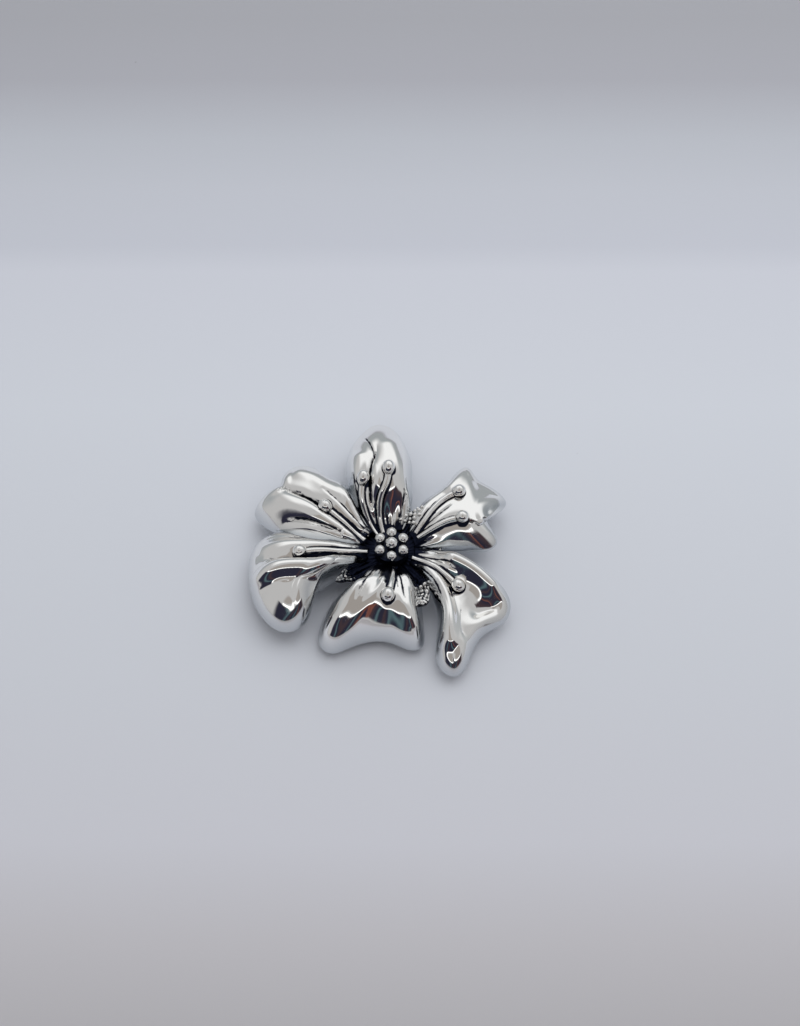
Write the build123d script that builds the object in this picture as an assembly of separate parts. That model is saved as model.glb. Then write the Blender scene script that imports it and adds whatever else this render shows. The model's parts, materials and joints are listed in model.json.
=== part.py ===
from build123d import *

import os

import numpy as np

# A cast-look silver flower brooch, worn as a hat pin: six puffed petals brazed round a throat cup, with wire
# stamens and a cluster of beads in front, and a hinged pin with a roll-over safety catch behind.
# Millimetres. The flower faces +Z and lies on its back on Z = 0; the pin runs along X, its point towards -X.

# ---- Driving dimensions -------------------------------------------------------------------------------------
FLOWER_X = 2.352  # the flower's own axis stands here, so that the whole outline is centred on the origin
FLOWER_Y = -2.182

THROAT_R = 4.2  # the petals' inner ends stand on this circle
THROAT_Z = 6.8  # height of the petals' mid-surface there
PETAL_T = 1.6  # thickness of a petal in its middle
RIM_THINNED = 0.5  # the share of it that is gone at the rim
OUTLINE_ROUND = 0.18  # how far the corners of a petal's outline are rounded off, 0 for square
SHEET_DEGREE = 8  # degree of the Bezier sheets that close each petal

# Shares that every petal has in common, at five stations from its throat end to its outer end.
STATIONS = (0.0, 0.25, 0.5, 0.75, 1.0)
ALONG = (0.0, 0.30, 0.62, 0.90, 1.0)  # distance out, which slows down where the end rolls over
CROWN = (0.0, 0.30, 1.0, 0.85, 0.0)  # how much of the ridges and of the hanging sides shows

# One petal each. heading: degrees from +X. length: how far the middle of its end stands from the flower's axis.
# left, right: half-widths at the stations, seen looking outwards. spine: heights of its channel there.
# reach: how much further out than length the end stands, at five places across it from right to left.
# ridge: how far the ridges left and right of the channel stand above it. drop: how far the sides hang below it.
PETALS = {
    "petal_top": dict(
        heading=97,
        length=29.2,
        left=(1.6, 4.6, 6.8, 7.0, 4.6),
        right=(2.2, 4.8, 6.6, 7.0, 4.8),
        spine=(6.8, 8.8, 10.4, 9.6, 4.0),
        reach=(-5.4, -1.4, 0.0, -1.2, -4.6),
        ridge=(1.3, 1.5),
        drop=(3.5, 3.5),
    ),
    "petal_upper_right": dict(
        heading=29,
        length=26.4,
        left=(2.2, 5.0, 8.0, 10.2, 10.6),
        right=(2.3, 5.0, 8.2, 9.8, 9.2),
        spine=(6.8, 8.6, 9.8, 9.0, 3.5),
        reach=(-7.9, -6.0, 0.0, -1.4, -2.2),
        ridge=(1.0, 1.2),
        drop=(4.0, 4.0),
    ),
    "petal_lower_right": dict(
        heading=-46,
        length=24.2,
        left=(2.3, 6.2, 9.6, 10.4, 8.8),
        right=(1.7, 3.8, 6.0, 8.8, 12.6),
        spine=(6.8, 8.8, 10.6, 9.8, 3.5),
        reach=(3.9, 0.8, 0.0, 0.1, 0.9),
        ridge=(1.2, 1.3),
        drop=(4.5, 4.5),
    ),
    "petal_lower_middle": dict(
        heading=-99,
        length=19.0,
        left=(1.7, 4.4, 7.4, 8.8, 8.4),
        right=(2.1, 5.0, 8.4, 11.0, 10.8),
        spine=(6.8, 8.6, 10.4, 9.0, 0.05),
        reach=(4.6, 1.0, 0.0, 0.4, 1.6),
        ridge=(1.4, 1.6),
        drop=(5.0, 4.5),
    ),
    "petal_lower_left": dict(
        heading=-168,
        length=27.8,
        left=(2.1, 4.4, 9.4, 11.8, 10.2),
        right=(1.4, 3.2, 5.4, 7.2, 6.8),
        spine=(6.8, 8.8, 10.8, 10.2, 4.0),
        reach=(-1.2, -0.2, 0.0, -0.4, -4.0),
        ridge=(1.4, 0.8),
        drop=(5.0, 2.5),
    ),
    "petal_upper_left": dict(
        heading=147,
        length=26.8,
        left=(1.4, 3.2, 5.4, 7.0, 7.4),
        right=(1.6, 4.0, 7.0, 8.2, 6.4),
        spine=(6.8, 8.6, 10.0, 9.6, 5.0),
        reach=(-2.8, -0.6, 0.0, 0.8, 2.0),
        ridge=(1.2, 1.4),
        drop=(2.5, 4.0),
    ),
}

# One stamen each: the petal it lies on, and the across and along shares of its root and of its ball.
STAMENS = {
    "stamen_top_left": ("petal_top", (0.44, 0.10), (0.64, 0.34)),
    "stamen_top_right": ("petal_top", (-0.08, 0.08), (-0.31, 0.39)),
    "stamen_upper_right_high": ("petal_upper_right", (0.16, 0.07), (0.32, 0.46)),
    "stamen_upper_right_low": ("petal_upper_right", (-0.30, 0.07), (-0.44, 0.42)),
    "stamen_lower_right": ("petal_lower_right", (0.36, 0.07), (0.25, 0.49)),
    "stamen_lower_middle": ("petal_lower_middle", (0.21, 0.07), (0.24, 0.43)),
    "stamen_lower_left": ("petal_lower_left", (0.10, 0.07), (-0.10, 0.45)),
    "stamen_upper_left": ("petal_upper_left", (0.30, 0.07), (0.24, 0.41)),
}
STAMEN_ROOT_R = 0.42
STAMEN_NECK_R = 0.60
STAMEN_BALL_R = 1.05
WIRE_SUNK = 0.20  # how deep the wires are brazed into the petals
BALL_SUNK = 0.05
STAMEN_STEPS = 7

BEAD_COUNT = 6
BEAD_R = 1.05
BEAD_RING_R = 2.55
CENTRE_BEAD_R = 1.20
BEAD_FLOOR_Z = 8.3  # the ring of beads stands at this height
BEAD_SUNK = 0.08
BEAD_SEAT_R = 3.3
CENTRE_STEP_R = 0.9
CENTRE_STEP = 0.35  # the middle of the seat stands this much higher

CUP_BASE_Z = 5.0
CUP_FLOOR_Z = 6.3
CUP_FLAT_R = 7.0
CUP_RIM_R = 9.4
CUP_RIM_Z = (6.9, 8.1)

# The pin's line is above the flower's centre of mass, so that the flower hangs face out. The hinge's ears and
# the lips of the catch reach down to Z = 0, as the ends of the lowest petal do, and the flower lies on these.
PIN_Y = 5.0
PIN_Z = 1.9
PIN_R = 0.5
HINGE_X = 11.0
SHAFT_END_X = 8.8  # the plain round shaft starts at this collar
TAPER_X = -7.5  # and tapers from here
TAPER = ((-12.6, 0.22), (-13.4, 0.03))  # x and radius where the point starts, and at its tip
COLLAR_R = 0.75
KNUCKLE_R = 1.1
KNUCKLE_W = 1.6
HEEL_L = 1.5
RIVET_R = 0.40
RIVET_HEAD_R = 0.75
RIVET_HEAD_T = 0.3
RUNNING_GAP = 0.05

BAR_X = -0.6
BAR_L = 27.0
BAR_W = 4.2
BAR_T = 0.8
BAR_BOTTOM_Z = CUP_BASE_Z - BAR_T

EAR_R = PIN_Z
EAR_T = 0.6
EAR_GAP = 0.1
BRACKET_W = KNUCKLE_W + 2 * EAR_GAP + 2 * EAR_T

CATCH_X = (-12.0, -9.0)
CATCH_MOUTH = 1.5
CATCH_R = (PIN_Z**2 + (CATCH_MOUTH / 2) ** 2) ** 0.5
CATCH_NECK_W = 3.2
CATCH_BORE_R = 1.3
ROTOR_BORE_R = 0.62
ROTOR_MOUTH = 1.3
ROTOR_FLANGE_R = 1.7
ROTOR_FLANGE_T = 0.45
TAB_REACH = 3.3
TAB_W = 1.5
TAB_ROUND = 0.6
CUTTER = 1.0  # how far a cutting solid overshoots what it cuts


# ---- Petals -------------------------------------------------------------------------------------------------
def through(values, t):
    """The smooth curve through one value at each station."""
    total = np.zeros_like(t)
    for i, value in enumerate(values):
        term = np.full_like(t, value)
        for j, station in enumerate(STATIONS):
            if j != i:
                term = term * (t - station) / (STATIONS[i] - station)
        total = total + term
    return total


def between(pair, s):
    """A (left, right) pair blended across the petal: left at s = 1, right at s = -1."""
    left, right = pair
    return (left + right) / 2 + (left - right) / 2 * s * (1.5 - 0.5 * s**2)


def middle(petal, s, t):
    """Points of the petal's mid-surface. s runs across it from -1 to 1, t along it from 0 to 1."""
    wide = between((through(petal["left"], t), through(petal["right"], t)), s) * s
    out = THROAT_R + (petal["length"] - THROAT_R) * through(ALONG, t)
    out = out + through(petal["reach"], (s + 1) / 2) * t**2
    ridge = between(petal["ridge"], s)
    lift = 2 * ridge + 2 * np.sqrt(ridge * (ridge + between(petal["drop"], s)))
    fall = lift + between(petal["drop"], s)
    up = through(petal["spine"], t) + through(CROWN, t) * (lift * s**2 - fall * s**4)
    turn = np.radians(petal["heading"])
    x = out * np.cos(turn) - wide * np.sin(turn)
    y = out * np.sin(turn) + wide * np.cos(turn)
    return np.stack([x, y, up], axis=-1)


def face_normal(petal, s, t):
    """Unit normals of the mid-surface, on its front side."""
    step = 1e-4
    across = middle(petal, s + step, t) - middle(petal, s - step, t)
    along = middle(petal, s, t + step) - middle(petal, s, t - step)
    normal = np.cross(along, across)
    return normal / np.linalg.norm(normal, axis=-1, keepdims=True)


def fullness(x, y):
    """The petal's thickness as a share of PETAL_T. x and y run from -1 to 1 across it and along it."""
    return (1 - RIM_THINNED * x**4) * (1 - RIM_THINNED * y**4)


def skin(petal, side):
    """Grid of points on the front (side = 1) or the back (side = -1) of a petal."""
    even = -np.cos(np.linspace(0, np.pi, SHEET_DEGREE + 1))
    x, y = np.meshgrid(even, even, indexing="ij")
    s = x * (1 - OUTLINE_ROUND * y**4)
    t = (1 + y * (1 - OUTLINE_ROUND * x**4)) / 2
    offset = side * PETAL_T / 2 * fullness(x, y)
    return middle(petal, s, t) + offset[..., None] * face_normal(petal, s, t)


def sheet_poles(points):
    """Poles of the Bezier sheet that passes through a grid of points, closer set towards its edges."""
    n = SHEET_DEGREE
    u = (1 - np.cos(np.linspace(0, np.pi, n + 1))) / 2
    powers = np.arange(n + 1)
    choose = np.array([1.0])
    for _ in range(n):
        choose = np.convolve(choose, [1, 1])
    basis = choose * u[:, None] ** powers * (1 - u[:, None]) ** (n - powers)
    inverse = np.linalg.inv(basis)
    return np.einsum("ai,bj,ijk->abk", inverse, inverse, points)


def bezier_sheet(poles):
    return Face.make_bezier_surface([[Vector(*pole) for pole in row] for row in poles])


def make_petal(name):
    """A closed shell: a front and a back sheet, and a wall between them along each of their four edges."""
    front, back = (sheet_poles(skin(PETALS[name], side)) for side in (1, -1))
    edges = [np.s_[0], np.s_[-1], np.s_[:, 0], np.s_[:, -1]]
    walls = [bezier_sheet([front[edge], back[edge]]) for edge in edges]
    return Solid(Shell([bezier_sheet(front), bezier_sheet(back), *walls]))


# ---- Stamens and beads --------------------------------------------------------------------------------------
def make_stamen(name):
    """A tapered wire along its petal's front, with a ball at its outer end."""
    petal_name, root, tip = STAMENS[name]
    petal = PETALS[petal_name]
    share = np.linspace(0, 1, STAMEN_STEPS)
    s = root[0] + (tip[0] - root[0]) * share
    t = root[1] + (tip[1] - root[1]) * share
    normal = face_normal(petal, s, t)
    front = middle(petal, s, t) + (PETAL_T / 2 * fullness(s, 2 * t - 1))[:, None] * normal
    radius = STAMEN_ROOT_R + (STAMEN_NECK_R - STAMEN_ROOT_R) * share
    path = front + (radius - WIRE_SUNK)[:, None] * normal
    rings = [
        Plane(origin=Vector(*point), z_dir=Vector(*along)) * Circle(float(size))
        for point, along, size in zip(path, np.gradient(path, axis=0), radius)
    ]
    ball_centre = front[-1] + (STAMEN_BALL_R - BALL_SUNK) * normal[-1]
    return loft(rings) + Pos(*ball_centre) * Sphere(STAMEN_BALL_R)


def column(radius, z0, z1):
    """A round column on the flower's axis."""
    return Pos(0, 0, z0) * Cylinder(radius, z1 - z0, align=(Align.CENTER, Align.CENTER, Align.MIN))


def make_bead_seat():
    seat = column(BEAD_SEAT_R, CUP_FLOOR_Z, BEAD_FLOOR_Z)
    return seat + column(CENTRE_STEP_R, BEAD_FLOOR_Z, BEAD_FLOOR_Z + CENTRE_STEP)


def make_ring_beads():
    """Six separate beads, kept together as one piece."""
    bead = Pos(BEAD_RING_R, 0, BEAD_FLOOR_Z + BEAD_R - BEAD_SUNK) * Sphere(BEAD_R)
    return Compound([Rot(0, 0, 90 + 360 / BEAD_COUNT * i) * bead for i in range(BEAD_COUNT)])


def make_centre_bead():
    return Pos(0, 0, BEAD_FLOOR_Z + CENTRE_STEP + CENTRE_BEAD_R - BEAD_SUNK) * Sphere(CENTRE_BEAD_R)


# ---- Throat cup ---------------------------------------------------------------------------------------------
def make_throat_cup():
    """The dished plate that the petals are brazed into and the pin's bar is brazed to."""
    profile = Polyline(
        (0, CUP_BASE_Z),
        (CUP_FLAT_R, CUP_BASE_Z),
        (CUP_RIM_R, CUP_RIM_Z[0]),
        (CUP_RIM_R, CUP_RIM_Z[1]),
        (THROAT_R, CUP_FLOOR_Z),
        (0, CUP_FLOOR_Z),
        close=True,
    )
    return revolve(Plane.XZ * make_face(profile), Axis.Z)


# ---- Pin, hinge and catch -----------------------------------------------------------------------------------
def rod_x(radius, x0, x1):
    """A round bar along the pin's line from x0 to x1."""
    return extrude(Plane(origin=(x0, PIN_Y, PIN_Z), z_dir=(1, 0, 0)) * Circle(radius), x1 - x0)


def rod_y(radius, width):
    """A round bar along the hinge's axis, centred on the pin's line."""
    start = Plane(origin=(HINGE_X, PIN_Y - width / 2, PIN_Z), z_dir=(0, 1, 0))
    return extrude(start * Circle(radius), width)


def block(x0, x1, width, z0, z1):
    """A box centred on the pin's line."""
    return Pos(x0, PIN_Y, z0) * Box(x1 - x0, width, z1 - z0, align=(Align.MIN, Align.CENTER, Align.MIN))


def make_pin_bar():
    outline = Pos(BAR_X, PIN_Y, BAR_BOTTOM_Z) * SlotOverall(BAR_L, BAR_W)
    return extrude(outline, BAR_T)


def make_hinge_bracket():
    """A folded strap: a plate against the bar, and an ear each side of the knuckle."""
    x0, x1 = HINGE_X - EAR_R, HINGE_X + EAR_R
    gap = BRACKET_W - 2 * EAR_T
    strap = block(x0, x1, BRACKET_W, PIN_Z, BAR_BOTTOM_Z) + rod_y(EAR_R, BRACKET_W)
    strap = strap - block(x0 - CUTTER, x1 + CUTTER, gap, -CUTTER, BAR_BOTTOM_Z - EAR_T)
    return strap - rod_y(RIVET_R, BRACKET_W + CUTTER)


def make_hinge_rivet():
    heads = rod_y(RIVET_HEAD_R, BRACKET_W + 2 * RIVET_HEAD_T) - rod_y(RIVET_HEAD_R + CUTTER, BRACKET_W)
    return rod_y(RIVET_R, BRACKET_W) + heads


def make_pin_stem():
    """Knuckle, collar, round shaft, long taper and point, with a short heel behind the knuckle."""
    stem = rod_y(KNUCKLE_R, KNUCKLE_W) + rod_x(COLLAR_R, SHAFT_END_X, HINGE_X)
    stem = stem + rod_x(PIN_R, HINGE_X, HINGE_X + HEEL_L) + rod_x(PIN_R, TAPER_X, SHAFT_END_X)
    ends = ((TAPER_X, PIN_R), *TAPER)
    rings = [Plane(origin=(x, PIN_Y, PIN_Z), z_dir=(-1, 0, 0)) * Circle(radius) for x, radius in ends]
    stem = stem + loft(rings[:2]) + loft(rings[1:])
    return stem - rod_y(RIVET_R + RUNNING_GAP, KNUCKLE_W + CUTTER)


def make_catch_body():
    """A tube along the pin's line, open downwards, on a neck under the bar."""
    x0, x1 = CATCH_X
    body = rod_x(CATCH_R, x0, x1) + block(x0, x1, CATCH_NECK_W, PIN_Z, BAR_BOTTOM_Z)
    mouth = block(x0, x1, CATCH_MOUTH, PIN_Z - CATCH_R - CUTTER, PIN_Z)
    return body - rod_x(CATCH_BORE_R, x0, x1) - mouth


def make_catch_rotor():
    """A slotted sleeve that turns in the catch body, with a flange at each end and a finger tab."""
    x0, x1 = CATCH_X[0] - RUNNING_GAP, CATCH_X[1] + RUNNING_GAP
    rotor = rod_x(CATCH_BORE_R - RUNNING_GAP, x0, x1)
    rotor = rotor + rod_x(ROTOR_FLANGE_R, x0 - ROTOR_FLANGE_T, x0) + rod_x(ROTOR_FLANGE_R, x1, x1 + ROTOR_FLANGE_T)
    tab = Pos(x1, PIN_Y, PIN_Z) * Box(
        ROTOR_FLANGE_T, TAB_REACH, TAB_W, align=(Align.MIN, Align.MIN, Align.CENTER)
    )
    rotor = rotor + fillet(tab.edges().filter_by(Axis.X).sort_by(Axis.Y)[-2:], TAB_ROUND)
    ends = (x0 - CUTTER, x1 + CUTTER)
    mouth = block(*ends, ROTOR_MOUTH, PIN_Z - CATCH_R - CUTTER, PIN_Z)
    return rotor - rod_x(ROTOR_BORE_R, *ends) - mouth


# ---- Assembly -----------------------------------------------------------------------------------------------
def make_pieces():
    pieces = {name: make_petal(name) for name in PETALS}
    pieces.update({name: make_stamen(name) for name in STAMENS})
    pieces["throat_cup"] = make_throat_cup()
    pieces["bead_seat"] = make_bead_seat()
    pieces["ring_beads"] = make_ring_beads()
    pieces["centre_bead"] = make_centre_bead()
    pieces["pin_bar"] = make_pin_bar()
    pieces["hinge_bracket"] = make_hinge_bracket()
    pieces["hinge_rivet"] = make_hinge_rivet()
    pieces["pin_stem"] = make_pin_stem()
    pieces["catch_body"] = make_catch_body()
    pieces["catch_rotor"] = make_catch_rotor()
    return pieces


os.makedirs("parts", exist_ok=True)
for piece_name, piece in make_pieces().items():
    export_step(Pos(FLOWER_X, FLOWER_Y, 0) * piece, f"parts/{piece_name}.step")
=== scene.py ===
"""Looks for the flower hat pin: polished silver with darkened creases, lying on pale paper."""

import json
import math

import bmesh
import bpy
import numpy as np
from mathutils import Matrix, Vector


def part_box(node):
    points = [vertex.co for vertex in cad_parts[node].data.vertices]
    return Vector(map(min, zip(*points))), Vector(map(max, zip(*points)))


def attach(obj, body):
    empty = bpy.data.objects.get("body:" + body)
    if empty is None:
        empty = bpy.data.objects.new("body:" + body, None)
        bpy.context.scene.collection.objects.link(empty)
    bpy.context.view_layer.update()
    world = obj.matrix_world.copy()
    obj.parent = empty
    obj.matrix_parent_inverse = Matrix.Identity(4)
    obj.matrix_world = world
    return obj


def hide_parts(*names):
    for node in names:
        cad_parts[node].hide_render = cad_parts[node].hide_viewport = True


MM = 0.001

# ---- Petals, in mm from the flower's axis --------------------------------------------------------------
# rim: points (x, y, height) from the petal's left root around its tip to its right root.
# vein: points (x, y, height) of the line that the petal falls away from on both sides.
# fall: how late the surface falls towards its left side, its tip and its right side; 2 is a plain dome.
# lip: height of the rolled lip inside the rim on the left, at the tip and on the right.
# ridges and creases: lines of (x, y) points with their half-width and their height or depth; a ridge below
# zero is a broad hollow.
PETALS = {
    "petal_top": dict(
        rim=(
            (-4, 4.5, 6),
            (-6, 7, 7),
            (-7.5, 10.5, 7.5),
            (-9, 15, 7),
            (-9.5, 20, 6),
            (-8.5, 25, 5),
            (-6, 28.5, 5),
            (-3, 30.5, 5),
            (0.5, 29, 5),
            (2.5, 25.5, 5.5),
            (4, 20, 6),
            (4, 15, 6.5),
            (4, 10, 7),
            (2.5, 5, 6),
        ),
        vein=(
            (-1.6, 4.3, 5.5),
            (-1.8, 6.8, 6.4),
            (-2, 9, 8.6),
            (-2.2, 11, 11),
            (-2.4, 13, 12.2),
            (-2.8, 16, 12.4),
            (-2.8, 19, 11.8),
        ),
        fall=(3, 2.5, 3),
        lip=(0.6, 0.7, 0.6),
        ridges=(
            (((1.4, 12.5), (1.2, 15.5), (0.4, 21)), 2.4, 1.0),
            (((-6.5, 9.5), (-7, 13), (-7, 18)), 1.6, 1.0),
        ),
        creases=(
            (((-5.9, 24.5), (-4.1, 20.5), (-3.4, 17.5)), 0.4, 0.35),
            (((-3.4, 19), (-4.3, 13.5), (-4.1, 9.7)), 0.7, 0.9),
            (((-7.8, 17), (-6.9, 11), (-4.2, 5.2)), 0.4, 0.35),
            (((2.6, 13), (2.1, 9), (0.8, 5)), 0.4, 0.35),
        ),
    ),
    "petal_upper_right": dict(
        rim=(
            (3.5, 4.5, 6),
            (5, 8.5, 7),
            (7.5, 12, 6.5),
            (11, 15, 6),
            (13.3, 18.7, 5),
            (15.5, 20.5, 4.5),
            (17.5, 17.5, 5),
            (20.5, 15.3, 5),
            (23.3, 12.3, 4.2),
            (21.3, 9.8, 5.2),
            (18.9, 7.6, 6.2),
            (19.8, 5, 5.8),
            (20.9, 2.6, 5.2),
            (19.4, 1, 4.8),
            (16.5, 0.6, 4.8),
            (12, 0.2, 5),
            (7.5, 0.4, 5.4),
            (4.5, 1, 5.5),
        ),
        vein=((4.4, 2.2, 6.5), (7.9, 3.9, 8.3), (12.5, 5.1, 9.3), (15.3, 5.2, 9.1), (17, 4.7, 8.5)),
        fall=(3.2, 1.8, 1.1),
        lip=(0.5, 0.4, 0),
        ridges=((((12, 13), (15.3, 19)), 1.5, 0.8),),
        creases=(
            (((12.8, 9.3), (9, 6.3), (5.5, 3.6)), 0.4, 0.3),
        ),
    ),
    "petal_lower_right": dict(
        rim=(
            (4.5, 0.8, 6),
            (7, 0.2, 6.2),
            (11, -0.8, 7.2),
            (16, -3.2, 7.5),
            (20.3, -6.5, 6.2),
            (22.7, -9.8, 4.5),
            (21.9, -13.2, 3.1),
            (18, -15.6, 2.4),
            (15.3, -19.2, 2.1),
            (13.7, -22.6, 2.4),
            (11.8, -24.1, 2.3),
            (9.3, -22.8, 2.3),
            (8.5, -18.4, 2.7),
            (9, -14, 3.3),
            (8, -9.2, 4.6),
            (5.8, -5.2, 5.4),
            (3.5, -2.5, 5.5),
        ),
        vein=((4.7, -1.6, 6.5), (8.8, -4.3, 7.2), (12, -8.1, 6.7), (12.8, -11.9, 6.5), (12, -16.4, 5.9)),
        fall=(2.3, 2.6, 2.8),
        lip=(0.6, 0.15, 0.8),
        ridges=(
            (((6.4, -5.4), (9.5, -9.4), (10.6, -13.9), (11, -18.4)), 1.2, 1.0),
            (((12, -3), (16, -4.9), (19.3, -7.5)), 2.1, 2.2),
            (((16.4, -12.5), (18.8, -11.5)), 2.3, -1.5),
        ),
        creases=(
            (((13.5, -5.3), (9.5, -3.1), (5, -1.4)), 0.4, 0.35),
            (((9.9, -12), (8.4, -7.8), (5, -3.4)), 0.4, 0.35),
        ),
    ),
    "petal_lower_middle": dict(
        rim=(
            (1.5, -3, 6),
            (3.5, -5.5, 6.5),
            (5.3, -8.3, 5.6),
            (5.8, -11.4, 4),
            (6.2, -15.2, 2.4),
            (5.8, -18.2, 1.8),
            (3.8, -18.8, 1.8),
            (0, -17.5, 2),
            (-4, -17.2, 2),
            (-8, -18.4, 1.8),
            (-11.5, -19.4, 1.8),
            (-13.7, -17.7, 2),
            (-13.6, -14.4, 2.5),
            (-11.9, -11.5, 4),
            (-8.5, -9.3, 5.6),
            (-5, -5.5, 6.5),
            (-1.5, -1.5, 6),
        ),
        vein=((-0.5, -3.8, 6.5), (-1, -6, 8.6), (-1.5, -8.5, 10.2)),
        fall=(2.9, 2.5, 2.9),
        lip=(0.6, 0.2, 0.6),
        ridges=(
            (((-3.9, -5.5), (-7.3, -10.6), (-9.9, -14), (-11.4, -16.8)), 1.6, 1.2),
            (((2.4, -7.2), (3.3, -12.2), (3.9, -15.6)), 1.4, 0.9),
        ),
        creases=(
            (((-6.8, -12), (-4.7, -8), (-2.2, -4)), 0.4, 0.3),
            (((2.4, -12.5), (2.0, -8.5), (1, -4.5)), 0.4, 0.35),
        ),
    ),
    "petal_lower_left": dict(
        rim=(
            (-4.5, -1.5, 6),
            (-8, -4.2, 5.5),
            (-13, -7, 4.5),
            (-15.5, -9, 4),
            (-15.7, -12.5, 4),
            (-17.5, -15.3, 4),
            (-20.5, -16, 4),
            (-24, -13.8, 4),
            (-26.6, -9.6, 4),
            (-28, -4, 4),
            (-28, 0, 4),
            (-26.5, 3, 4.5),
            (-22.5, 4.3, 6),
            (-17.5, 3, 6.5),
            (-11, 1.5, 7),
            (-4.5, 0.5, 6.5),
        ),
        vein=((-5.4, -1.2, 6.5), (-10.6, -4.2, 8.3), (-15, -6.5, 9.2), (-19.5, -8, 9.6)),
        fall=(2.8, 2.5, 2.8),
        lip=(0.5, 0.3, 0.6),
        ridges=(
            (((-6.5, -0.4), (-13.8, -0.2), (-19.3, 0), (-24.5, -0.3)), 1.4, 1.0),
            (((-25.4, -7.2), (-21.3, -5.6), (-14, -5), (-8, -3.6)), 1.5, 2.2),
        ),
        creases=(
            (((-24.3, -3.1), (-19.1, -3.4), (-13.7, -3.1), (-8.4, -2.6)), 0.8, 1.2),
            (((-22, 1.9), (-15, 1), (-7, 0.3)), 0.4, 0.35),
            (((-20, -2.1), (-13, -2.6), (-7, -1.8)), 0.4, 0.3),
        ),
    ),
    "petal_upper_left": dict(
        rim=(
            (-6, 0.9, 6),
            (-12, 1.3, 6),
            (-18.5, 2.6, 5.4),
            (-23.3, 4.9, 4.6),
            (-26.7, 7.6, 3.8),
            (-28, 10.3, 3.5),
            (-26, 12.6, 4.5),
            (-23, 14, 5),
            (-22.5, 17, 5),
            (-20, 19.8, 5),
            (-16, 19.3, 5.5),
            (-12.5, 16.3, 6),
            (-9.5, 14.5, 7),
            (-7.5, 11, 7.5),
            (-6, 8, 7),
            (-3.5, 3.5, 6),
        ),
        vein=((-4.7, 3.3, 7), (-10.2, 6.2, 9), (-15.4, 9.3, 10), (-19.5, 11.7, 9.5)),
        fall=(1.7, 2.6, 3.2),
        lip=(0.1, 0.6, 0.6),
        ridges=(
            (((-8.7, 9.9), (-13.2, 13.3), (-18.3, 16.1)), 1.8, 0.8),
            (((-26, 9.4), (-20.2, 8.4), (-13.3, 5.2), (-6.2, 2)), 1.8, 0.85),
            (((-22, 5.2), (-16, 4.1), (-9, 1.9)), 0.35, 0.25),
        ),
        creases=(
            (((-22.5, 12.5), (-17.1, 10.2), (-12.2, 6.9), (-6.6, 3)), 0.9, 1.4),
            (((-21.5, 6.5), (-16, 5.2), (-10, 3.2)), 0.5, 0.5),
            (((-16, 8.6), (-10.5, 5), (-6, 2.2)), 0.35, 0.3),
            (((-9.6, 13.5), (-7.6, 9), (-5, 4.5)), 0.4, 0.4),
            (((-14, 12.2), (-9.6, 8.3), (-5.5, 4)), 0.35, 0.3),
        ),
    ),
}

# One stamen each: the petal it lies on and points (x, y) from its root to its ball.
STAMENS = {
    "stamen_top_left": ("petal_top", ((-2.7, 3.4), (-4.6, 6.4), (-5.9, 9.8), (-5.6, 13))),
    "stamen_top_right": ("petal_top", ((-1.6, 4), (-2.4, 7), (-2.2, 9.8), (-1, 12.2), (-0.6, 14.7))),
    "stamen_upper_right_high": (
        "petal_upper_right",
        ((4.6, 3.2), (6.5, 5.7), (8.6, 8.4), (11.3, 10.6), (13.4, 11.4)),
    ),
    "stamen_upper_right_low": ("petal_upper_right", ((5, 2.3), (7.9, 3.6), (11.2, 4.9), (13.8, 5.3))),
    "stamen_lower_right": ("petal_lower_right", ((3.9, -1.7), (7.7, -3.9), (10.6, -6.2), (12.7, -8.2))),
    "stamen_lower_middle": ("petal_lower_middle", ((0.4, -4.4), (0.1, -7.9), (-0.6, -11.4))),
    "stamen_lower_left": ("petal_lower_left", ((-4.6, -0.8), (-9.1, -1.5), (-13.7, -1.5), (-17.6, -2.1))),
    "stamen_upper_left": ("petal_upper_left", ((-5.2, 1.6), (-7.7, 3.9), (-10.5, 6), (-13.1, 8))),
}

PETAL_T = 1.6
RIM_STEPS = 150  # from a petal's root to its tip
SPAN_STEPS = 70  # from its vein to its rim
FAN = 1.6  # how strongly the lines across a petal fan out round the end of its vein
EDGE_POWER = 4  # a higher power keeps the petal's thickness closer to its rim
RELIEF_POWER = 6  # and the same for its relief
LIP_INSET = 1.5
LIP_WIDTH = 0.9
LIP_RISE = (6.0, 5.0)  # the radius where lips begin, and over what length they grow
PLEATS = 31
PLEAT_WANDER = (2, 5)  # how far the pleats drift sideways, and how often round the flower
PLEAT_HEIGHT = 0.16
PLEAT_R = 7.0
PLEAT_SPREAD = 2.2
CREASE_FADE = 0.25  # the part of a crease's length over which it deepens

# ---- Curves --------------------------------------------------------------------------------------------
SPLINE_STEPS = 40  # for each given point, before the curve is spaced evenly
SPLINE_POWER = 0.7  # each knot is as far on as a step's length to this power
VEIN_POINTS = 400
RIM_POINTS = 300  # points along a rim and along a path when distances to them are measured
PATH_POINTS = 60

# ---- Stamens, in mm ------------------------------------------------------------------------------------
STAMEN_ROOT_R = 0.42
STAMEN_NECK_R = 0.68
STAMEN_BALL_R = 1.25
STAMEN_NECK_POWER = 6  # a higher power makes the corner between wire and ball sharper
STAMEN_SUNK = 0.20
STAMEN_RINGS = 70
STAMEN_SIDES = 28
STAMEN_CALM = 4  # rings on each side over which its height is averaged
STAMEN_CONTACTS = 6  # points of the petal that its height is taken from
GROOVE_WIDTH = 1.1
GROOVE_DEPTH = 0.35

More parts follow.
